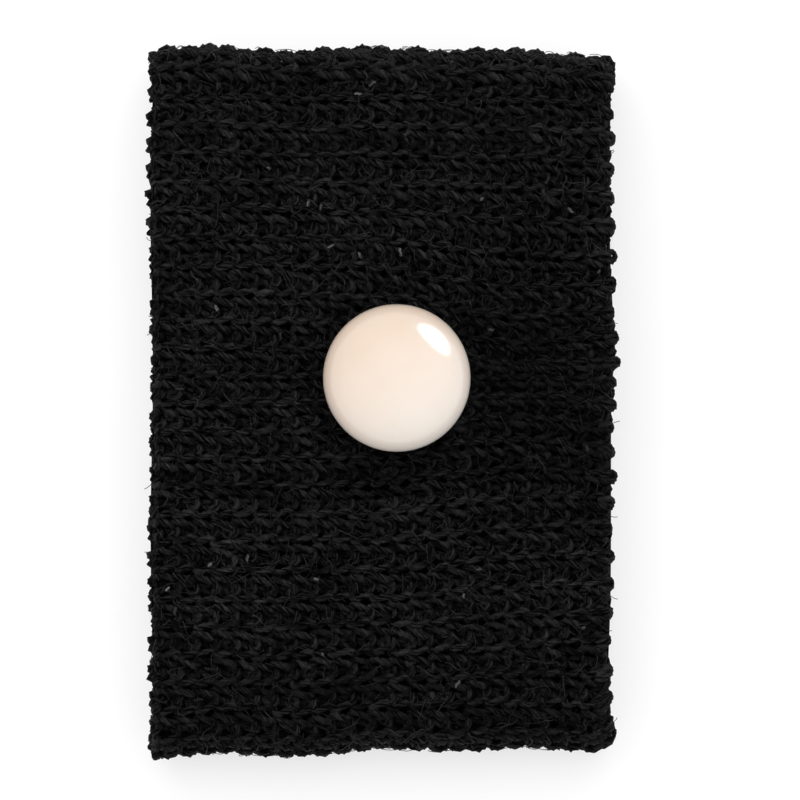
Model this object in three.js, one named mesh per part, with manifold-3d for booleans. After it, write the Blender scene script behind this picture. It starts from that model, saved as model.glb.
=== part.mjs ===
// Knitted elastic wristband with a domed pressure stud, lying flat on its back with the stud up.
// X runs along the knitted tube from one open edge to the other, Y from fold to fold, and Z up.
// The origin is the middle of the face that the band rests on. Units are millimetres.
import * as THREE from 'three';
import { mergeVertices } from 'three/addons/utils/BufferGeometryUtils.js';
import Module from 'manifold-3d';

// The flattened tube
const BAND_LENGTH = 60; // from fold to fold
const BAND_WIDTH = 39.2; // from open edge to open edge
const BAND_HEIGHT = 10; // from the rest face to the upper face
const FOLD_DEPTH = 4.2; // how far each rounded fold reaches along Y
const KNIT_WALL = 1.4; // rib knit, from its outer loops to its inner loops
const SPLIT_GAP = 0.3; // between the half that stays on the back and the half that lifts

// Elastic yarn laid into the knit, one turn for every second course
const ELASTIC_TURNS = 11;
const ELASTIC_YARN = 0.5;
const ELASTIC_EDGE_MARGIN = 1.7; // from the knit's end to the nearest turn's middle, at least

// Chain of loops that binds off each open edge
const CHAIN_WIDTH = 0.7;
const CHAIN_THICKNESS = 1;
const CHAIN_INSET = 0.2; // below the knit's outer face, so that the chain never bears on the table

// Stud: a dome with a barbed post, and the backing disc that the post snaps into
const STUD_X = 1.3;
const STUD_Y = 1.9;
const DOME_DIAMETER = 12.4;
const DOME_RIM = 0.7; // straight side below the crown
const DOME_CROWN = 3.9;
const POST_RADIUS = 1;
const BARB_OVERHANG = 0.5;
const BARB_HEIGHT = 0.3;
const DISC_DIAMETER = 11;
const DISC_THICKNESS = 1;
const DISC_RECESS = 0.6; // depth of the pocket that hides the barb

// Fits and smoothness
const CLEARANCE = 0.3;
const FOLD_STEPS = 8; // facets round a quarter of a fold
const ROUND_SEGMENTS = 32;
const CROWN_STEPS = 8;

const KNIT_BLACK = 0x131314;
const ELASTIC_BLACK = 0x1b1b1d;
const STUD_CREAM = 0xf7e6d8;

const wasm = await Module();
wasm.setup();

function fabric(colour) {
  return new THREE.MeshStandardMaterial({ color: colour, roughness: 0.85, metalness: 0 });
}

function gloss(colour) {
  return new THREE.MeshStandardMaterial({ color: colour, roughness: 0.18, metalness: 0 });
}

// Half the height of the tube and half its flat stretch, measured from its middle
const halfHeight = BAND_HEIGHT / 2;
const halfFlat = BAND_LENGTH / 2 - FOLD_DEPTH;

// Points over the upper half of the tube, from the +Y fold to the -Y fold, inset from its outer face
function archPoints(inset) {
  const fold = [];
  for (let step = 0; step <= FOLD_STEPS; step += 1) {
    const angle = (step / FOLD_STEPS) * (Math.PI / 2);
    const normal = new THREE.Vector2(halfHeight * Math.cos(angle), FOLD_DEPTH * Math.sin(angle));
    normal.normalize();
    const y = FOLD_DEPTH * Math.cos(angle) - inset * normal.x;
    const z = halfHeight * Math.sin(angle) - inset * normal.y;
    fold.push(new THREE.Vector2(halfFlat + y, Math.max(z, SPLIT_GAP / 2)));
  }
  const mirrored = fold.map((point) => new THREE.Vector2(-point.x, point.y));
  return [...fold, ...mirrored.reverse()];
}

// A wall that arches over the tube's upper half, between two insets, starting at x
function archWall(outerInset, innerInset, x, width) {
  const outline = [...archPoints(outerInset), ...archPoints(innerInset).reverse()];
  const geometry = new THREE.ExtrudeGeometry(new THREE.Shape(outline), {
    depth: width,
    bevelEnabled: false,
  });
  const toTube = new THREE.Matrix4().makeBasis(
    new THREE.Vector3(0, 1, 0),
    new THREE.Vector3(0, 0, 1),
    new THREE.Vector3(1, 0, 0),
  );
  geometry.applyMatrix4(toTube);
  geometry.translate(x, 0, 0);
  return geometry;
}

function toSolid(geometry) {
  const bare = geometry.clone();
  bare.deleteAttribute('normal');
  bare.deleteAttribute('uv');
  const merged = mergeVertices(bare);
  return new wasm.Manifold(
    new wasm.Mesh({
      numProp: 3,
      vertProperties: merged.attributes.position.array,
      triVerts: Uint32Array.from(merged.index.array),
    }),
  );
}

function toGeometry(solid) {
  const mesh = solid.getMesh();
  const geometry = new THREE.BufferGeometry();
  geometry.setAttribute('position', new THREE.BufferAttribute(mesh.vertProperties, 3));
  geometry.setIndex(new THREE.BufferAttribute(mesh.triVerts, 1));
  geometry.computeVertexNormals();
  return geometry;
}

// The upper half of the tube stands as built; the lower half is the same shape turned over about X
function placeHalf(name, geometry, material, half) {
  const mesh = new THREE.Mesh(geometry, material);
  mesh.name = name;
  mesh.rotation.x = half === 'back' ? Math.PI : 0;
  return mesh;
}

const knitStart = -BAND_WIDTH / 2 + CHAIN_WIDTH + CLEARANCE;
const knitWidth = -2 * knitStart;

// Rib-knitted wall; the front one has the hole that the stud's post is pushed through
function knitHalf(half) {
  const wall = archWall(0, KNIT_WALL, knitStart, knitWidth);
  if (half === 'back') {
    return placeHalf('knit_back', wall, fabric(KNIT_BLACK), half);
  }
  const drillLength = 4 * KNIT_WALL;
  const holeRadius = POST_RADIUS + CLEARANCE;
  const drill = new THREE.CylinderGeometry(holeRadius, holeRadius, drillLength, ROUND_SEGMENTS);
  drill.rotateX(Math.PI / 2);
  drill.translate(STUD_X, STUD_Y, halfHeight);
  const pierced = toSolid(wall).subtract(toSolid(drill));
  return placeHalf('knit_front', toGeometry(pierced), fabric(KNIT_BLACK), half);
}

// Turns of elastic lie just inside the knit, with the stud's post midway between two of them
function elasticTurns(half) {
  const outerInset = KNIT_WALL + CLEARANCE;
  const pitch = (knitWidth - 2 * ELASTIC_EDGE_MARGIN) / (ELASTIC_TURNS - 1);
  const firstTurn = knitStart + ELASTIC_EDGE_MARGIN;
  const turnsBeforeStud = Math.round((STUD_X - firstTurn) / pitch - 0.5);
  const shift = STUD_X - (firstTurn + (turnsBeforeStud + 0.5) * pitch);
  const turns = [];
  for (let turn = 0; turn < ELASTIC_TURNS; turn += 1) {
    const middle = firstTurn + turn * pitch + shift;
    const wall = archWall(
      outerInset,
      outerInset + ELASTIC_YARN,
      middle - ELASTIC_YARN / 2,
      ELASTIC_YARN,
    );
    const number = String(turn + 1).padStart(2, '0');
    turns.push(placeHalf(`elastic_${half}_${number}`, wall, fabric(ELASTIC_BLACK), half));
  }
  return turns;
}

function edgeChain(edge, half) {
  const start = edge === 'left' ? -BAND_WIDTH / 2 : BAND_WIDTH / 2 - CHAIN_WIDTH;
  const wall = archWall(CHAIN_INSET, CHAIN_INSET + CHAIN_THICKNESS, start, CHAIN_WIDTH);
  return placeHalf(`edge_chain_${edge}_${half}`, wall, fabric(KNIT_BLACK), half);
}

// Heights in the stud, from the middle of the tube up
const domeSeat = halfHeight + CLEARANCE;
const discTop = halfHeight - KNIT_WALL - ELASTIC_YARN - 2 * CLEARANCE;
const discBottom = discTop - DISC_THICKNESS;

function turned(name, profile, material) {
  const geometry = new THREE.LatheGeometry(profile, ROUND_SEGMENTS);
  geometry.rotateX(Math.PI / 2);
  geometry.translate(STUD_X, STUD_Y, 0);
  const mesh = new THREE.Mesh(geometry, material);
  mesh.name = name;
  return mesh;
}

// Dome and barbed post, one moulding
function studDome() {
  const domeRadius = DOME_DIAMETER / 2;
  const barbTop = discBottom + BARB_HEIGHT;
  const profile = [
    new THREE.Vector2(0, discBottom),
    new THREE.Vector2(POST_RADIUS, discBottom),
    new THREE.Vector2(POST_RADIUS + BARB_OVERHANG, barbTop),
    new THREE.Vector2(POST_RADIUS, barbTop),
    new THREE.Vector2(POST_RADIUS, domeSeat),
    new THREE.Vector2(domeRadius, domeSeat),
  ];
  for (let step = 0; step <= CROWN_STEPS; step += 1) {
    const angle = (step / CROWN_STEPS) * (Math.PI / 2);
    const radius = step === CROWN_STEPS ? 0 : domeRadius * Math.cos(angle);
    const height = domeSeat + DOME_RIM + DOME_CROWN * Math.sin(angle);
    profile.push(new THREE.Vector2(radius, height));
  }
  return turned('stud_dome', profile, gloss(STUD_CREAM));
}

// Ring that the barb catches in, hidden inside the tube
function studBackingDisc() {
  const bore = POST_RADIUS + CLEARANCE;
  const pocket = POST_RADIUS + BARB_OVERHANG + CLEARANCE;
  const pocketTop = discBottom + DISC_RECESS;
  const radius = DISC_DIAMETER / 2;
  const profile = [
    new THREE.Vector2(pocket, discBottom),
    new THREE.Vector2(radius, discBottom),
    new THREE.Vector2(radius, discTop),
    new THREE.Vector2(bore, discTop),
    new THREE.Vector2(bore, pocketTop),
    new THREE.Vector2(pocket, pocketTop),
    new THREE.Vector2(pocket, discBottom),
  ];
  return turned('stud_backing_disc', profile, gloss(STUD_CREAM));
}

const band = new THREE.Group();
band.position.z = halfHeight;
for (const half of ['back', 'front']) {
  band.add(knitHalf(half), ...elasticTurns(half));
  band.add(edgeChain('left', half), edgeChain('right', half));
}
band.add(studDome(), studBackingDisc());

export default band;
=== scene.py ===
"""A black rib-knitted elastic wristband with a domed cream stud, lying flat on a pale floor."""

import math

import bpy
import numpy as np
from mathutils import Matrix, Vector


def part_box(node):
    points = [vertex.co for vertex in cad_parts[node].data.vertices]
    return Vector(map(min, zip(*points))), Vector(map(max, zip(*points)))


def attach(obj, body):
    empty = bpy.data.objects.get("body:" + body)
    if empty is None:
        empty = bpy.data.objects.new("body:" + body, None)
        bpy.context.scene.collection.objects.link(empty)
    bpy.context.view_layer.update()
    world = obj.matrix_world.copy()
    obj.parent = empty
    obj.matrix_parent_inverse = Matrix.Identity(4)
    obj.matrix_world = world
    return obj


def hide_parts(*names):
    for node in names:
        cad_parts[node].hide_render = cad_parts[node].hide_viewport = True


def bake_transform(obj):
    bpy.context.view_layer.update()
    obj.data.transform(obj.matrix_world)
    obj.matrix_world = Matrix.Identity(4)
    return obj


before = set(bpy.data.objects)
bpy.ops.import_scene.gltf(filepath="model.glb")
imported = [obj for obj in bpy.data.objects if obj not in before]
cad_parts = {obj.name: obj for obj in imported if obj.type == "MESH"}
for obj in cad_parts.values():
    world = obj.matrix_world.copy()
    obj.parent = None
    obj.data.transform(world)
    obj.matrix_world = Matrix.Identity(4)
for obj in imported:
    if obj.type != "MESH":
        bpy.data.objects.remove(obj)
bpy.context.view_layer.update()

MM = 0.001

# --- Ground of the knit ---------------------------------------------------------------------
# The real tube is knitted in the round from textured nylon, like the cuff of a sock. Its middle
# surface is shaped here: two flat layers, a rounded fold at each end and open edges at the
# sides. Every yarn below is laid on this surface.

front_low, front_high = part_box("knit_front")
dome_low, dome_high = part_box("stud_dome")
stud_x = (dome_low[0] + dome_high[0]) / 2
stud_y = (dome_low[1] + dome_high[1]) / 2
dome_radius = (dome_high[0] - dome_low[0]) / 2

knit_thickness = 2.2 * MM
fold_depth = 4.2 * MM  # how far a rounded fold reaches along Y
band_top = front_high[2]
band_length = front_high[1] - front_low[1]
edge_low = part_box("edge_chain_left_back")[0][0]
edge_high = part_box("edge_chain_right_back")[1][0]
edge_yarn_room = 0.45 * MM
knit_low = edge_low + edge_yarn_room
knit_high = edge_high - edge_yarn_room
knit_width = knit_high - knit_low

GROUND_AROUND = 288
GROUND_ALONG = 72
THREADS_ACROSS = 320


def smooth_step(value, start, end):
    share = np.clip((value - start) / (end - start), 0, 1)
    return share * share * (3 - 2 * share)


def hump(value, middle, spread):
    return np.exp(-(((value - middle) / spread) ** 2))


def section_points(count):
    """Evenly spaced points round the middle surface's section, from the middle of the back."""
    half_flat = band_length / 2 - fold_depth
    deep = fold_depth - knit_thickness / 2
    tall = band_top / 2 - knit_thickness / 2
    angles = np.linspace(-math.pi / 2, math.pi / 2, 181)
    fold_y = half_flat + deep * np.cos(angles)
    fold_z = band_top / 2 + tall * np.sin(angles)
    y = np.concatenate([[0], fold_y, -fold_y[::-1], [0]])
    z = np.concatenate([[fold_z[0]], fold_z, fold_z[::-1], [fold_z[0]]])
    steps = np.concatenate([[0], np.cumsum(np.hypot(np.diff(y), np.diff(z)))])
    wanted = np.linspace(0, steps[-1], count + 1)
    return np.interp(wanted, steps, y), np.interp(wanted, steps, z), steps[-1]


def settle(x, y, z):
    """Bends the ideal tube into the one that lies on the table, with the knit drawn in by the stud."""
    front = smooth_step(z, 0.2 * band_top, 0.8 * band_top)
    half_length = band_length / 2
    half_width = (edge_high - edge_low) / 2
    across = x / half_width
    up = y / half_length

    # The folds aren't quite straight, and the corners draw in by different amounts
    fold_wave = 0.14 * MM * np.sin(4.1 * across + 0.6) + 0.14 * MM * np.sin(9.7 * across + 2.0)
    fold_wave = fold_wave - 0.32 * MM * across * np.sign(y)
    settled_y = y * 1.005 + fold_wave * smooth_step(np.abs(up), 0.3, 1.0)
    corner_pull = {(-1, 1): 1.7, (1, 1): 1.2, (-1, -1): 0.15, (1, -1): 2.1}
    for (side, end), depth in corner_pull.items():
        reach = smooth_step(side * across, 0.9, 1.01) ** 2
        settled_y = settled_y - end * depth * MM * reach * smooth_step(end * up, 0.55, 1.0)

    # The right edge swells beside the stud and narrows towards the bottom
    right = smooth_step(across, -0.2, 1.0)
    edge_shift = 0.28 * hump(up, 0.2, 0.16) - 0.28 * hump(up, -0.86, 0.2) - 0.12 * hump(up, 0.6, 0.25)
    settled_x = x * 1.011 + edge_shift * MM * right
    left = smooth_step(-across, 0.3, 1.0)
    settled_x = settled_x + 0.1 * MM * np.sin(7.0 * up + 1.0) * left

    # To the right of the stud the ribs are gathered towards it
    from_stud = settled_y - stud_y
    gather = 0.34 * hump(from_stud, 0, 9.5 * MM) * hump(x, stud_x + 9.5 * MM, 9.0 * MM)
    settled_y = settled_y - front * gather * from_stud
    drift = 0.9 * MM * hump(up, 0.35, 0.3) * smooth_step(across, 0.0, 1.0)
    rise = 1.3 * MM * hump(up, -0.5, 0.3) * smooth_step(across, 0.05, 1.0)
    settled_y = settled_y + front * (rise - drift)

    # The front layer sags a little, swells under the stud and dips in a ring round it
    distance = np.hypot(settled_x - stud_x, settled_y - stud_y)
    sag = 0.45 * hump(x, -0.3 * half_width, 0.5 * half_width) * hump(up, 0.35, 0.4)
    sag = sag + 0.35 * hump(x, 0.2 * half_width, 0.5 * half_width) * hump(up, -0.45, 0.3)
    swell = 0.22 * (1 - smooth_step(distance, 0.7 * dome_radius, 1.05 * dome_radius))
    dip = 0.75 * hump(distance, 1.17 * dome_radius, 0.17 * dome_radius)
    settled_z = z + front * MM * (swell - dip - sag)
    return settled_x, settled_y, settled_z


def ground_mesh(name):
    y_ring, z_ring, length_round = section_points(GROUND_AROUND)
    x_row = np.linspace(knit_low, knit_high, GROUND_ALONG + 1)
    points = []
    for x in x_row:
        settled = settle(np.full(GROUND_AROUND, x), y_ring[:-1], z_ring[:-1])
        points.extend(zip(*settled))
    faces, corner_uv = [], []
    for along in range(GROUND_ALONG):
        for around in range(GROUND_AROUND):
            after = (around + 1) % GROUND_AROUND
            this_row, next_row = along * GROUND_AROUND, (along + 1) * GROUND_AROUND
            faces.append((this_row + around, this_row + after, next_row + after, next_row + around))
            u0, u1 = around / GROUND_AROUND, (around + 1) / GROUND_AROUND
            v0, v1 = along / GROUND_ALONG, (along + 1) / GROUND_ALONG
            corner_uv.extend([(u0, v0), (u1, v0), (u1, v1), (u0, v1)])
    mesh = bpy.data.meshes.new(name)
    mesh.from_pydata([Vector(point) for point in points], [], faces)
    layer = mesh.uv_layers.new(name="Knit")
    layer.data.foreach_set("uv", np.array(corner_uv, np.float32).ravel())
    threads = mesh.attributes.new("yarn", "FLOAT_VECTOR", "POINT")
    thread_places = [(y, THREADS_ACROSS * x, THREADS_ACROSS * z) for x, y, z in points]
    threads.data.foreach_set("vector", np.array(thread_places, np.float32).ravel())
    mesh.shade_smooth()
    mesh.update()
    return mesh, length_round


ground_sheet, length_round = ground_mesh("knit_ground")


# --- Rib-knit yarn --------------------------------------------------------------------------
# Each course is one run of black textured nylon, 0.6 mm thick, right round the wrist. Its
# loops face out in the raised wales and in in the sunk ones, each drawn through the loop on
# its left, so that the raised wales read as chains of Vs that point left.


def add_object(name, mesh):
    piece = bpy.data.objects.new(name, mesh)
    bpy.context.scene.collection.objects.link(piece)
    return piece


class Formula:
    """A value in a node tree, so that a formula can be written as one."""

    def __init__(self, tree, source):
        self.tree = tree
        self.source = source

    def node(self, operation, *others):
        node = self.tree.nodes.new("ShaderNodeMath")
        node.operation = operation
        for socket, value in zip(node.inputs, (self, *others)):
            feed(self.tree, socket, value)
        return Formula(self.tree, node.outputs[0])

    def __add__(self, other):
        return self.node("ADD", other)

    def __sub__(self, other):
        return self.node("SUBTRACT", other)

    def __mul__(self, other):
        return self.node("MULTIPLY", other)

    def __truediv__(self, other):
        return self.node("DIVIDE", other)

    def __mod__(self, other):
        return self.node("FLOORED_MODULO", other)

    def sin(self):
        return self.node("SINE")

    def cos(self):
        return self.node("COSINE")

    def floor(self):
        return self.node("FLOOR")


def feed(tree, socket, value):
    """Joins a socket to a formula or a socket, or sets it to a plain value."""
    if isinstance(value, Formula):
        value = value.source
    if isinstance(value, bpy.types.NodeSocket):
        tree.links.new(value, socket)
    else:
        socket.default_value = value


def add_node(tree, kind, inputs=None, **settings):
    node = tree.nodes.new(kind)
    for name, value in settings.items():
        setattr(node, name, value)
    for key, value in (inputs or {}).items():
        feed(tree, node.inputs[key], value)
    return node


def vector_of(tree, x=0.0, y=0.0, z=0.0):
    return add_node(tree, "ShaderNodeCombineXYZ", {0: x, 1: y, 2: z}).outputs[0]


def new_tree(name, sizes):
    """A geometry tree with a Geometry input, one named number input for each size, and the output."""
    tree = bpy.data.node_groups.new(name, "GeometryNodeTree")
    tree.interface.new_socket("Geometry", in_out="INPUT", socket_type="NodeSocketGeometry")
    for size in sizes:
        tree.interface.new_socket(size, in_out="INPUT", socket_type="NodeSocketFloat")
    tree.interface.new_socket("Material", in_out="INPUT", socket_type="NodeSocketMaterial")
    tree.interface.new_socket("Geometry", in_out="OUTPUT", socket_type="NodeSocketGeometry")
    group_in = tree.nodes.new("NodeGroupInput")
    formulas = {size: Formula(tree, group_in.outputs[size]) for size in sizes}
    return tree, group_in, formulas


def finish_tree(tree, group_in, geometry):
    realised = add_node(tree, "GeometryNodeRealizeInstances", {"Geometry": geometry})
    coloured = add_node(
        tree,
        "GeometryNodeSetMaterial",
        {"Geometry": realised.outputs[0], "Material": group_in.outputs["Material"]},
    )
    group_out = tree.nodes.new("NodeGroupOutput")
    tree.links.new(coloured.outputs[0], group_out.inputs[0])


def grow(name, base_mesh, tree, sizes, material):
    """Runs a tree on a mesh and keeps the result as a plain piece."""
    holder = add_object(name + "_holder", base_mesh)
    modifier = holder.modifiers.new("Grow", "NODES")
    modifier.node_group = tree
    for item in tree.interface.items_tree:
        if item.in_out == "INPUT" and item.name in sizes:
            modifier[item.identifier] = float(sizes[item.name])
        if item.in_out == "INPUT" and item.name == "Material":
            modifier[item.identifier] = material
    evaluated = holder.evaluated_get(bpy.context.evaluated_depsgraph_get())
    mesh = bpy.data.meshes.new_from_object(evaluated)
    mesh.name = name
    bpy.data.objects.remove(holder)
    return add_object(name, mesh)


def filament_group():
    """Fine filaments lying along a yarn: a tone and a height that change across it, and loop by loop."""
    group = bpy.data.node_groups.new("Yarn filaments", "ShaderNodeTree")
    for size, value in (("Across", 3.2), ("Along", 900.0)):
        socket = group.interface.new_socket(size, in_out="INPUT", socket_type="NodeSocketFloat")
        socket.default_value = value
    for name in ("Tone", "Height"):
        group.interface.new_socket(name, in_out="OUTPUT", socket_type="NodeSocketFloat")
    group_in = group.nodes.new("NodeGroupInput")
    yarn = add_node(group, "ShaderNodeAttribute", attribute_name="yarn")
    scale = vector_of(
        group,
        Formula(group, group_in.outputs["Along"]),
        Formula(group, group_in.outputs["Across"]),
        Formula(group, group_in.outputs["Across"]),
    )
    scaled = add_node(
        group, "ShaderNodeVectorMath", {0: yarn.outputs["Vector"], 1: scale}, operation="MULTIPLY"
    )
    strands = add_node(
        group,
        "ShaderNodeTexNoise",
        {"Vector": scaled.outputs[0], "Scale": 1.0, "Detail": 3.0, "Roughness": 0.6},
    )
    tone = add_node(
        group,
        "ShaderNodeMapRange",
        {0: strands.outputs[0], 1: 0.43, 2: 0.67, 3: 0.0, 4: 3.7},
    )
    group_out = group.nodes.new("NodeGroupOutput")
    group.links.new(tone.outputs[0], group_out.inputs["Tone"])
    group.links.new(strands.outputs[0], group_out.inputs["Height"])
    return group


filaments = filament_group()


def yarn_material(name, colour, shine, roughness, bump=0.9, across=1.9, along=600.0):
    """Dull spun-looking nylon: dark body, faint gloss along its filaments."""
    material = bpy.data.materials.new(name)
    material.use_nodes = True
    tree = material.node_tree
    shader = tree.nodes["Principled BSDF"]
    shader.inputs["Specular IOR Level"].default_value = shine
    shader.inputs["Sheen Weight"].default_value = 0.01
    shader.inputs["Sheen Roughness"].default_value = 0.5
    yarn = add_node(tree, "ShaderNodeGroup", node_tree=filaments)
    yarn.inputs["Across"].default_value = across
    yarn.inputs["Along"].default_value = along
    tone = Formula(tree, yarn.outputs["Tone"])
    loop = add_node(tree, "ShaderNodeAttribute", attribute_name="tone")
    patch = add_node(
        tree,
        "ShaderNodeTexNoise",
        {
            "Vector": add_node(tree, "ShaderNodeTexCoord").outputs["Object"],
            "Scale": 120.0,
            "Detail": 2.0,
        },
    )
    loop_tone = Formula(tree, loop.outputs["Fac"]) + 0.75
    patch_tone = Formula(tree, patch.outputs[0]) + 0.5
    brightness = tone * loop_tone * patch_tone

    # Painted shade: the knit's colour is darkened in a soft patch to the right of the stud, where the
    # gathered rows lie closer together
    place = add_node(
        tree, "ShaderNodeSeparateXYZ", {0: add_node(tree, "ShaderNodeTexCoord").outputs["Object"]}
    )
    shade_patch_x = (Formula(tree, place.outputs[0]) - (stud_x + 11 * MM)) / (8 * MM)
    shade_patch_y = (Formula(tree, place.outputs[1]) - stud_y) / (10 * MM)
    painted_shade_patch = ((shade_patch_x * shade_patch_x + shade_patch_y * shade_patch_y) * -1).node("EXPONENT")
    brightness = brightness * (painted_shade_patch * -0.55 + 1)
    mixed = add_node(
        tree,
        "ShaderNodeVectorMath",
        {0: colour, "Scale": brightness},
        operation="SCALE",
    )
    tree.links.new(mixed.outputs[0], shader.inputs["Base Color"])
    feed(tree, shader.inputs["Roughness"], tone * -0.08 + (roughness + 0.08))
    relief = add_node(
        tree,
        "ShaderNodeBump",
        {"Height": yarn.outputs["Height"], "Strength": bump, "Distance": 0.25 * MM},
    )
    tree.links.new(relief.outputs[0], shader.inputs["Normal"])
    return material


knit_black = (0.0082, 0.0082, 0.0085)
WALES = 108
COURSES = 23
LOOP_SEED = 7
course_inset = 0.5 * MM
course_pitch = (knit_width - 2 * course_inset) / COURSES

# How far single loops stray, and how far whole patches of loops do
LOOP_STRAY_AROUND = 0.14  # of a wale
LOOP_STRAY_ALONG = 0.12 * MM
LOOP_STRAY_UP = 0.16 * MM
PATCH_STRAY_AROUND = 1.6  # of a wale
PATCH_STRAY_ALONG = 1.6 * MM
PATCH_STRAY_UP = 0.5 * MM
PATCHES_ROUND = 6
PATCHES_ALONG = 260  # per metre

YARN_SIZES = (
    "Runs",
    "First Place",
    "Pitch",
    "Width",
    "Loops",
    "Steps per Loop",
    "Wander",
    "Loop Reach",
    "Rib Reach",
    "Waist",
    "Rib Spread",
    "Rib Height",
    "Head Drop",
    "Depth",
    "Unevenness",
    "Yarn Radius",
    "Plies",
)


def yarn_tree():
    """Runs of looped yarn round the tube, laid on its surface by the surface's own UV map."""
    tree, group_in, size = new_tree("Yarn round the tube", YARN_SIZES)
    steps_round = size["Loops"] * size["Steps per Loop"]
    straight = add_node(tree, "GeometryNodeCurvePrimitiveLine")
    run = add_node(
        tree,
        "GeometryNodeResampleCurve",
        {"Curve": straight.outputs[0], "Count": steps_round},
    )
    places = add_node(tree, "GeometryNodeMeshLine", {"Count": size["Runs"]})
    copies = add_node(
        tree,
        "GeometryNodeInstanceOnPoints",
        {"Points": places.outputs[0], "Instance": run.outputs[0]},
    )
    runs = add_node(tree, "GeometryNodeRealizeInstances", {"Geometry": copies.outputs[0]})
    closed = add_node(tree, "GeometryNodeSetSplineCyclic", {"Geometry": runs.outputs[0], "Cyclic": True})

    index = Formula(tree, add_node(tree, "GeometryNodeInputIndex").outputs[0])
    course = ((index + 0.5) / steps_round).floor()
    step = index - course * steps_round
    loops_done = step / size["Steps per Loop"]
    loop = (loops_done + 0.001).floor()
    turn = (loops_done - loop) * math.tau
    facing = loop % 2 * -2 + 1
    leg = turn.sin() * turn.sin()
    head = (turn.cos() * -0.5 + 0.5).node("POWER", 4.0)

    chance = add_node(
        tree,
        "FunctionNodeRandomValue",
        {
            "Min": (-1, -1, -1),
            "Max": (1, 1, 1),
            "ID": course * size["Loops"] + loop,
            "Seed": LOOP_SEED,
        },
        data_type="FLOAT_VECTOR",
    )
    chances = add_node(tree, "ShaderNodeSeparateXYZ", {0: chance.outputs[0]})
    uneven = [Formula(tree, chances.outputs[axis]) * size["Unevenness"] for axis in range(3)]
    fade = (turn * 0.5).sin() * (turn * 0.5).sin()

    # The knit is never quite even: whole patches of loops lie a little askew
    bearing = loops_done / size["Loops"] * math.tau
    first_along = size["First Place"] + course * size["Pitch"]
    patch = add_node(
        tree,
        "ShaderNodeTexNoise",
        {
            "Vector": vector_of(
                tree,
                bearing.cos() * PATCHES_ROUND,
                bearing.sin() * PATCHES_ROUND,
                first_along * PATCHES_ALONG,
            ),
            "Scale": 1.0,
        },
    )
    askew = add_node(tree, "ShaderNodeSeparateXYZ", {0: patch.outputs["Color"]})
    askew = [(Formula(tree, askew.outputs[axis]) - 0.5) * size["Wander"] for axis in range(3)]

    waist = (turn * 2).sin() * size["Waist"]
    spread = turn.sin() * facing * size["Rib Spread"]
    around = loops_done + waist - spread + uneven[0] * fade * LOOP_STRAY_AROUND
    around = around + askew[0] * PATCH_STRAY_AROUND
    reach = size["Loop Reach"] * (facing * size["Rib Reach"] + 1) + uneven[1] * LOOP_STRAY_ALONG
    along = first_along - turn.cos() * reach + askew[1] * PATCH_STRAY_ALONG
    height = (leg * size["Rib Height"] - head * size["Head Drop"]) * facing
    height = height + size["Depth"] + uneven[2] * leg * LOOP_STRAY_UP + askew[2] * PATCH_STRAY_UP
    share_along = (along / size["Width"]).node("MAXIMUM", 0.002).node("MINIMUM", 0.998)
    past_edge = along - share_along * size["Width"]
    place_uv = vector_of(tree, (around / size["Loops"]) % 1.0, share_along)

    knit_uv = add_node(tree, "GeometryNodeInputNamedAttribute", {"Name": "Knit"}, data_type="FLOAT_VECTOR")
    found = []
    for source in ("GeometryNodeInputPosition", "GeometryNodeInputNormal"):
        sample = add_node(
            tree,
            "GeometryNodeSampleUVSurface",
            {
                "Mesh": group_in.outputs["Geometry"],
                "Value": add_node(tree, source).outputs[0],
                "UV Map": knit_uv.outputs[0],
                "Sample UV": place_uv,
            },
            data_type="FLOAT_VECTOR",
        )
        found.append(sample.outputs[0])
    raised = add_node(tree, "ShaderNodeVectorMath", {0: found[1], "Scale": height}, operation="SCALE")
    on_knit = add_node(tree, "ShaderNodeVectorMath", {0: found[0], 1: raised.outputs[0]}, operation="ADD")
    place = add_node(
        tree,
        "ShaderNodeVectorMath",
        {0: on_knit.outputs[0], 1: vector_of(tree, past_edge)},
        operation="ADD",
    )
    laid = add_node(
        tree,
        "GeometryNodeSetPosition",
        {"Geometry": closed.outputs[0], "Position": place.outputs[0]},
    )
    toned = add_node(
        tree,
        "GeometryNodeStoreNamedAttribute",
        {"Geometry": laid.outputs[0], "Name": "tone", "Value": uneven[0] * 0.3 + askew[2] * 1.2 + 0.25},
        data_type="FLOAT",
        domain="POINT",
    )
    thickness = size["Yarn Radius"] * (leg * 0.16 + 0.92 + uneven[2] * 0.12)
    return finish_yarn(tree, group_in, toned.outputs[0], thickness, size["Plies"])


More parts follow.
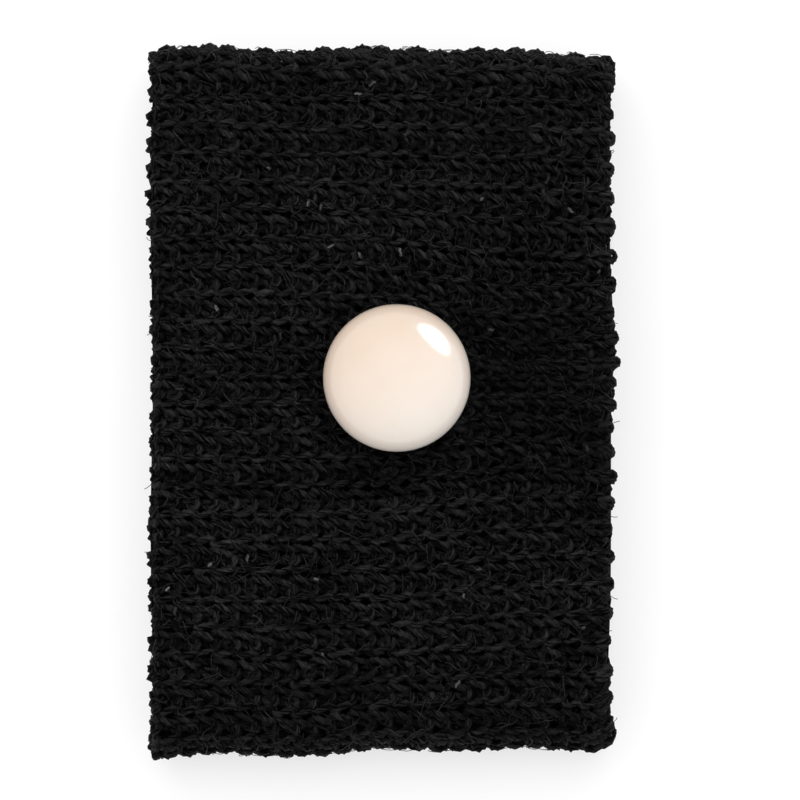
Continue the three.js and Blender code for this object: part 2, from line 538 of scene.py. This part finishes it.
def finish_yarn(tree, group_in, curves, thickness, plies):
    """Gives curves the body of a plied yarn, with coordinates along and round it for its filaments."""
    parameter = add_node(tree, "GeometryNodeSplineParameter")
    whole = Formula(tree, add_node(tree, "GeometryNodeSplineLength").outputs["Length"])
    twists = (whole / (2.6 * MM)).floor()
    twisted = add_node(
        tree,
        "GeometryNodeSetCurveTilt",
        {"Curve": curves, "Tilt": Formula(tree, parameter.outputs["Factor"]) * twists * math.tau},
    )
    measured = add_node(
        tree,
        "GeometryNodeStoreNamedAttribute",
        {"Geometry": twisted.outputs[0], "Name": "yarn_along", "Value": parameter.outputs["Length"]},
        data_type="FLOAT",
        domain="POINT",
    )
    rim = add_node(
        tree,
        "GeometryNodeCurveStar",
        {"Points": plies, "Inner Radius": 0.9, "Outer Radius": 1.04},
    )
    round_rim = add_node(
        tree,
        "GeometryNodeStoreNamedAttribute",
        {"Geometry": rim.outputs[0], "Name": "yarn_round", "Value": parameter.outputs["Factor"]},
        data_type="FLOAT",
        domain="POINT",
    )
    body = add_node(
        tree,
        "GeometryNodeCurveToMesh",
        {
            "Curve": measured.outputs[0],
            "Profile Curve": round_rim.outputs[0],
            "Scale": thickness,
            "Fill Caps": True,
        },
    )
    along = add_node(tree, "GeometryNodeInputNamedAttribute", {"Name": "yarn_along"}, data_type="FLOAT")
    around = add_node(tree, "GeometryNodeInputNamedAttribute", {"Name": "yarn_round"}, data_type="FLOAT")
    angle = Formula(tree, around.outputs[0]) * math.tau
    mapped = add_node(
        tree,
        "GeometryNodeStoreNamedAttribute",
        {
            "Geometry": body.outputs[0],
            "Name": "yarn",
            "Value": vector_of(tree, along.outputs[0], angle.cos(), angle.sin()),
        },
        data_type="FLOAT_VECTOR",
        domain="POINT",
    )
    smooth = add_node(tree, "GeometryNodeSetShadeSmooth", {"Geometry": mapped.outputs[0]})
    finish_tree(tree, group_in, smooth.outputs[0])
    return tree


yarn_round_tube = yarn_tree()
rib_yarn = yarn_material("Rib yarn", knit_black, shine=0.02, roughness=0.42)
rib_sizes = {
    "Pitch": course_pitch,
    "Width": knit_width,
    "Loops": WALES,
    "Steps per Loop": 16,
    "Wander": 0.65,
    "Loop Reach": 0.66 * course_pitch,
    "Waist": 0.31,
    "Rib Spread": 0.1,
    "Rib Height": 0.52 * MM,
    "Head Drop": 0.3 * MM,
    "Depth": 0.08 * MM,
    "Unevenness": 0.8,
    "Yarn Radius": 0.315 * MM,
    "Plies": 3,
}

knit_pieces = []
courses_made = 0
for part_name, courses in (("left", 8), ("middle", 8), ("right", 7)):
    part_sizes = dict(rib_sizes)
    part_sizes["Runs"] = courses
    part_sizes["First Place"] = course_inset + (courses_made + 0.5) * course_pitch
    rib_part = grow(f"rib_courses_{part_name}", ground_sheet.copy(), yarn_round_tube, part_sizes, rib_yarn)
    knit_pieces.append(rib_part)
    courses_made += courses

# Painted shade: a sheet much darker than the yarn, set 0.5 mm inside the knit's middle surface, shows
# through the gaps between the loops as shade
shade_sheet_material = yarn_material("Painted shade sheet", (0.0013, 0.0013, 0.0014), shine=0.01, roughness=0.9)
shade_sheet_mesh = ground_sheet.copy()
shade_sheet_mesh.name = "knit_ground"
shade_sheet_mesh.materials.append(shade_sheet_material)
for vertex in shade_sheet_mesh.vertices:
    vertex.co = vertex.co - ground_sheet.vertices[vertex.index].normal * 0.5 * MM
ground = add_object("knit_ground", shade_sheet_mesh)
wall = ground.modifiers.new("Wall", "SOLIDIFY")
wall.thickness = 0.2 * MM
wall.offset = 0.0
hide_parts("knit_back", "knit_front")
for piece in [ground, *knit_pieces]:
    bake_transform(piece)


# --- Elastic yarn ---------------------------------------------------------------------------
# One covered elastic yarn is laid into every second course as it is knitted, and lies
# between the raised and the sunk wales. It grips the wrist, and shows only inside the tube.

ELASTIC_TURNS = 11
elastic_nodes = []
for half in ("back", "front"):
    for turn in range(1, ELASTIC_TURNS + 1):
        elastic_nodes.append(f"elastic_{half}_{turn:02d}")
first_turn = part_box(elastic_nodes[0])
last_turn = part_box(elastic_nodes[ELASTIC_TURNS - 1])
turn_middle = (first_turn[0][0] + first_turn[1][0]) / 2
elastic_pitch = (last_turn[0][0] - first_turn[0][0]) / (ELASTIC_TURNS - 1)
elastic_black = (0.012, 0.012, 0.013)
elastic_yarn = yarn_material("Covered elastic", elastic_black, shine=0.15, roughness=0.4, along=4000.0)
elastic = grow(
    "elastic_turns",
    ground_sheet.copy(),
    yarn_round_tube,
    {
        "Runs": ELASTIC_TURNS,
        "First Place": turn_middle - knit_low,
        "Pitch": elastic_pitch,
        "Width": knit_width,
        "Loops": WALES,
        "Steps per Loop": 4,
        "Rib Height": 0.1 * MM,
        "Depth": -0.62 * MM,
        "Unevenness": 0.3,
        "Yarn Radius": 0.24 * MM,
        "Plies": 3,
    },
    elastic_yarn,
)
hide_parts(*elastic_nodes)
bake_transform(elastic)


# --- Edge chains ----------------------------------------------------------------------------
# The loops of the first and last courses would run, so each open edge is bound with a chain of
# the same yarn, worked over the edge. It makes the small scallops down both sides.

edge_yarn = yarn_material("Edge yarn", knit_black, shine=0.03, roughness=0.42)
chain_reach = 0.34 * MM
for edge, place in (("left", 0.42 * MM), ("right", knit_width - 0.5 * MM)):
    chain = grow(
        f"edge_chain_{edge}",
        ground_sheet.copy(),
        yarn_round_tube,
        {
            "Runs": 1,
            "First Place": place,
            "Pitch": 0.0,
            "Width": knit_width,
            "Loops": WALES,
            "Steps per Loop": 16,
            "Wander": 0.5,
            "Loop Reach": chain_reach,
            "Rib Reach": -0.6 if edge == "left" else 0.9,
            "Waist": 0.2,
            "Rib Height": 0.62 * MM,
            "Unevenness": 1.5,
            "Yarn Radius": 0.3 * MM,
            "Plies": 3,
        },
        edge_yarn,
    )
    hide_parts(f"edge_chain_{edge}_back", f"edge_chain_{edge}_front")
    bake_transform(chain)


# --- Loose fibres and lint ------------------------------------------------------------------
# Filaments that have worked loose from the textured nylon lie curled over the ribs, and a few
# paler specks of lint have caught in them. They're held by nothing but the knit.

FIBRE_SIZES = ("Density", "Seed", "Length", "Curl", "Height", "Radius", "Plies")


def fibre_tree():
    """Short curled fibres, scattered over the outside of the tube and lying along it."""
    tree, group_in, size = new_tree("Fibres on the knit", FIBRE_SIZES)
    scattered = add_node(
        tree,
        "GeometryNodeDistributePointsOnFaces",
        {"Mesh": group_in.outputs["Geometry"], "Density": size["Density"], "Seed": size["Seed"]},
    )
    arc = add_node(
        tree,
        "GeometryNodeCurvePrimitiveBezierSegment",
        {
            "Resolution": 6,
            "Start": vector_of(tree, size["Length"] * -0.5, 0.0, size["Height"]),
            "Start Handle": vector_of(tree, size["Length"] * -0.2, size["Curl"], size["Height"] * 1.2),
            "End Handle": vector_of(tree, size["Length"] * 0.2, size["Curl"] * -0.7, size["Height"] * 1.3),
            "End": vector_of(tree, size["Length"] * 0.5, 0.0, size["Height"] * 0.9),
        },
    )
    spin = add_node(
        tree,
        "FunctionNodeRandomValue",
        {"Min": (0, 0, 0), "Max": (0, 0, math.tau), "Seed": 11},
        data_type="FLOAT_VECTOR",
    )
    turned = add_node(
        tree,
        "FunctionNodeRotateRotation",
        {"Rotation": scattered.outputs["Rotation"], "Rotate By": spin.outputs[0]},
        rotation_space="LOCAL",
    )
    stretch = add_node(
        tree,
        "FunctionNodeRandomValue",
        {"Min": (0.4, -1.2, 0.75), "Max": (1.5, 1.2, 1.15), "Seed": 12},
        data_type="FLOAT_VECTOR",
    )
    copies = add_node(
        tree,
        "GeometryNodeInstanceOnPoints",
        {
            "Points": scattered.outputs["Points"],
            "Instance": arc.outputs[0],
            "Rotation": turned.outputs[0],
            "Scale": stretch.outputs[0],
        },
    )
    fibres = add_node(tree, "GeometryNodeRealizeInstances", {"Geometry": copies.outputs[0]})
    chance = add_node(tree, "FunctionNodeRandomValue", {2: -0.5, 3: 1.0, "Seed": 13}, data_type="FLOAT")
    toned = add_node(
        tree,
        "GeometryNodeStoreNamedAttribute",
        {"Geometry": fibres.outputs[0], "Name": "tone", "Value": chance.outputs[1]},
        data_type="FLOAT",
        domain="CURVE",
    )
    return finish_yarn(tree, group_in, toned.outputs[0], size["Radius"], size["Plies"])


fibres_on_knit = fibre_tree()
fibre_black = yarn_material("Loose fibres", (0.016, 0.016, 0.0165), shine=0.2, roughness=0.4)
lint_grey = yarn_material("Lint", (0.05, 0.05, 0.052), shine=0.1, roughness=0.8)
tube_area = knit_width * length_round
for scatter_name, count, sizes_here, scatter_material in (
    (
        "loose_fibres",
        2400,
        {"Seed": 3, "Length": 1.3 * MM, "Curl": 0.5 * MM, "Height": 0.7 * MM, "Radius": 0.03 * MM},
        fibre_black,
    ),
    (
        "lint_specks",
        60,
        {"Seed": 5, "Length": 0.4 * MM, "Curl": 0.3 * MM, "Height": 0.8 * MM, "Radius": 0.12 * MM},
        lint_grey,
    ),
):
    sizes_here["Density"] = count / tube_area
    sizes_here["Plies"] = 3
    scatter = grow(scatter_name, ground_sheet.copy(), fibres_on_knit, sizes_here, scatter_material)
    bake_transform(scatter)


# --- Stud -----------------------------------------------------------------------------------
# A moulded cream plastic dome, polished, with a barbed post under it. The post is pushed
# through the knit and snaps into a flat disc inside the tube, so the knit is pinched between.

disc_low, disc_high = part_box("stud_backing_disc")


def turned_mesh(name, profile, segments):
    """Turns a profile of (radius, height) points about the stud's axis."""
    points, rings, faces = [], [], []
    for radius, height in profile:
        if radius < 1e-9:
            rings.append([len(points)] * segments)
            points.append((stud_x, stud_y, height))
            continue
        rings.append(list(range(len(points), len(points) + segments)))
        for segment in range(segments):
            angle = math.tau * segment / segments
            x = stud_x + radius * math.cos(angle)
            y = stud_y + radius * math.sin(angle)
            points.append((x, y, height))
    if profile[0][0] > 1e-9:
        rings.append(rings[0])
    for lower, upper in zip(rings, rings[1:]):
        for segment in range(segments):
            after = (segment + 1) % segments
            corners = (lower[segment], lower[after], upper[after], upper[segment])
            faces.append(tuple(dict.fromkeys(corners)))
    mesh = bpy.data.meshes.new(name)
    mesh.from_pydata(points, [], faces)
    mesh.shade_smooth()
    return mesh


def rounded(corners, radius, steps=5):
    """The corners of a profile as points, each inner corner eased by an arc-like curve."""
    points = [corners[0]]
    for before, corner, after in zip(corners, corners[1:], corners[2:]):
        here = Vector(corner)
        to_before = Vector(before) - here
        to_after = Vector(after) - here
        ease = min(radius, 0.45 * to_before.length, 0.45 * to_after.length)
        start = here + to_before.normalized() * ease
        end = here + to_after.normalized() * ease
        for step in range(steps + 1):
            share = step / steps
            before_share = (1 - share) ** 2
            here_share = 2 * share * (1 - share)
            points.append(tuple(start * before_share + here * here_share + end * share**2))
    points.append(corners[-1])
    return points


def moulded_plastic(name):
    material = bpy.data.materials.new(name)
    material.use_nodes = True
    tree = material.node_tree
    shader = tree.nodes["Principled BSDF"]
    shader.inputs["Specular IOR Level"].default_value = 0.5
    shader.inputs["Subsurface Weight"].default_value = 0.12
    shader.inputs["Subsurface Radius"].default_value = (0.004, 0.0025, 0.0015)
    shader.inputs["Subsurface Scale"].default_value = 0.3
    shader.inputs["Coat Weight"].default_value = 0.3
    shader.inputs["Coat Roughness"].default_value = 0.05
    coordinates = add_node(tree, "ShaderNodeTexCoord").outputs["Object"]
    centred = add_node(
        tree,
        "ShaderNodeMapping",
        {"Vector": coordinates, "Location": (-stud_x, -stud_y, 0)},
    )
    place = add_node(tree, "ShaderNodeSeparateXYZ", {0: centred.outputs[0]})
    cloud = add_node(
        tree, "ShaderNodeTexNoise", {"Vector": coordinates, "Scale": 260.0, "Detail": 3.0, "Roughness": 0.5}
    )
    # Painted shade: the cream is darker and warmer towards the top and the left of the stud and paler
    # towards the bottom and the right, with a random mottle on top
    mottle_and_painted_shade = Formula(tree, place.outputs[1]) * (0.5 / dome_radius) - Formula(tree, place.outputs[0]) * (
        0.28 / dome_radius
    )
    mottle_and_painted_shade = mottle_and_painted_shade + Formula(tree, cloud.outputs[0]) * 0.3 + 0.5
    mottle_and_shade_mix = add_node(tree, "ShaderNodeMix", {"Factor": mottle_and_painted_shade}, data_type="RGBA")
    # A is the paler, lit side of the cream and B the darker, painted shade; the mix also carries the mottle
    cream = {"A": (0.95, 0.88, 0.81, 1), "B": (0.785, 0.635, 0.52, 1)}
    for socket in mottle_and_shade_mix.inputs:
        if socket.type == "RGBA" and socket.name in cream:
            socket.default_value = cream[socket.name]
    colour = next(socket for socket in mottle_and_shade_mix.outputs if socket.type == "RGBA")
    tree.links.new(colour, shader.inputs["Base Color"])
    handling = add_node(
        tree, "ShaderNodeTexNoise", {"Vector": coordinates, "Scale": 900.0, "Detail": 4.0, "Roughness": 0.7}
    )
    feed(tree, shader.inputs["Roughness"], Formula(tree, handling.outputs[0]) * 0.12 + 0.1)
    skin = add_node(
        tree, "ShaderNodeBump", {"Height": cloud.outputs[0], "Strength": 0.06, "Distance": 0.2 * MM}
    )
    tree.links.new(skin.outputs[0], shader.inputs["Normal"])
    return material


cream_plastic = moulded_plastic("Moulded cream plastic")
post_radius = 1.0 * MM
barb_radius = 1.5 * MM
dome_seat = band_top + 0.3 * MM
skirt = dome_seat - 0.45 * MM  # the dome's edge presses this far into the knit
rim_height = dome_seat + 0.7 * MM
crown = dome_high[2] - rim_height
crown_points = []
CROWN_STEPS = 28
for crown_step in range(CROWN_STEPS + 1):
    crown_angle = crown_step / CROWN_STEPS * math.pi / 2
    crown_radius = dome_radius * math.cos(crown_angle) if crown_step < CROWN_STEPS else 0.0
    crown_points.append((crown_radius, rim_height + crown * math.sin(crown_angle)))
underside = rounded(
    [
        (0.0, disc_low[2]),
        (post_radius, disc_low[2]),
        (barb_radius, disc_low[2] + 0.3 * MM),
        (post_radius, disc_low[2] + 0.34 * MM),
        (post_radius, skirt + 0.25 * MM),
        (dome_radius - 0.9 * MM, skirt + 0.25 * MM),
        (dome_radius - 0.7 * MM, skirt),
        (dome_radius - 0.12 * MM, skirt),
        (dome_radius, skirt + 0.5 * MM),
        crown_points[0],
    ],
    0.15 * MM,
)
dome_mesh = turned_mesh("stud_dome_moulding", underside[:-1] + crown_points, 96)
dome = add_object("stud_dome_moulding", dome_mesh)
dome.data.materials.append(cream_plastic)
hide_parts("stud_dome")
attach(dome, "stud")

bore = 1.3 * MM
pocket = 1.8 * MM
disc_radius = (disc_high[0] - disc_low[0]) / 2
disc_profile = rounded(
    [
        (pocket + 0.6 * MM, disc_low[2]),
        (disc_radius - 1.1 * MM, disc_low[2]),
        (disc_radius - 0.9 * MM, disc_low[2] + 0.18 * MM),
        (disc_radius - 0.5 * MM, disc_low[2]),
        (disc_radius, disc_low[2]),
        (disc_radius, disc_high[2]),
        (bore, disc_high[2]),
        (bore, disc_low[2] + 0.6 * MM),
        (pocket, disc_low[2] + 0.6 * MM),
        (pocket, disc_low[2]),
        (pocket + 0.6 * MM, disc_low[2]),
    ],
    0.12 * MM,
)
disc = add_object("stud_disc_moulding", turned_mesh("stud_disc_moulding", disc_profile[:-1], 96))
disc.data.materials.append(cream_plastic)
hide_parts("stud_backing_disc")
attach(disc, "stud")


# --- Table, light and camera ----------------------------------------------------------------
# A plain white table top under a large soft lamp, with a low softbox beyond the upper right
# corner that draws the bright patch on the stud, and a camera straight above.


def floor_material():
    material = bpy.data.materials.new("White table")
    material.use_nodes = True
    tree = material.node_tree
    shader = tree.nodes["Principled BSDF"]
    shader.inputs["Specular IOR Level"].default_value = 0.0
    shader.inputs["Roughness"].default_value = 0.9
    grain = add_node(
        tree,
        "ShaderNodeTexNoise",
        {"Vector": add_node(tree, "ShaderNodeTexCoord").outputs["Object"], "Scale": 30.0, "Detail": 4.0},
    )
    shade = Formula(tree, grain.outputs[0]) * 0.01 + 0.42
    feed(tree, shader.inputs["Base Color"], vector_of(tree, shade, shade, shade))
    shader.inputs["Emission Color"].default_value = (1, 1, 1, 1)
    shader.inputs["Emission Strength"].default_value = 0.62
    return material


floor_half = 2.0
floor_mesh = bpy.data.meshes.new("floor")
floor_mesh.from_pydata(
    [
        (-floor_half, -floor_half, 0),
        (floor_half, -floor_half, 0),
        (floor_half, floor_half, 0),
        (-floor_half, floor_half, 0),
    ],
    [],
    [(0, 1, 2, 3)],
)
floor_mesh.materials.append(floor_material())
floor = add_object("floor", floor_mesh)


def softbox(name, place, aim, size, power):
    lamp = bpy.data.lights.new(name, "AREA")
    lamp.shape = "RECTANGLE"
    lamp.size, lamp.size_y = size
    lamp.energy = power
    holder = add_object(name, lamp)
    holder.location = place
    holder.rotation_mode = "QUATERNION"
    holder.rotation_quaternion = (Vector(aim) - Vector(place)).to_track_quat("-Z", "Y")
    holder.visible_camera = False
    return holder


overhead = softbox("overhead_softbox", (-0.05, 0.4, 0.8), (0, 0, 0), (1.0, 0.8), 4.6)
overhead.visible_glossy = False
glint = softbox("glint_softbox", (0.23, 0.24, 0.11), (stud_x, stud_y, 0.012), (0.26, 0.22), 1.3)
glint.data.shape = "ELLIPSE"
glint.visible_diffuse = False

world = bpy.data.worlds.new("Studio")
bpy.context.scene.world = world
world.use_nodes = True
world.node_tree.nodes["Background"].inputs["Color"].default_value = (1, 1, 1, 1)
world.node_tree.nodes["Background"].inputs["Strength"].default_value = 0.76

FRAME_WIDTH = 67.3 * MM
camera_height = 0.7
camera_data = bpy.data.cameras.new("camera")
camera_data.sensor_width = 36.0
camera_data.lens = camera_data.sensor_width * (camera_height - band_top) / FRAME_WIDTH
camera = add_object("camera", camera_data)
camera.location = (1.57 * MM, 0.05 * MM, camera_height)
bpy.context.scene.camera = camera
bpy.context.scene.view_settings.view_transform = "Standard"

bpy.context.view_layer.update()
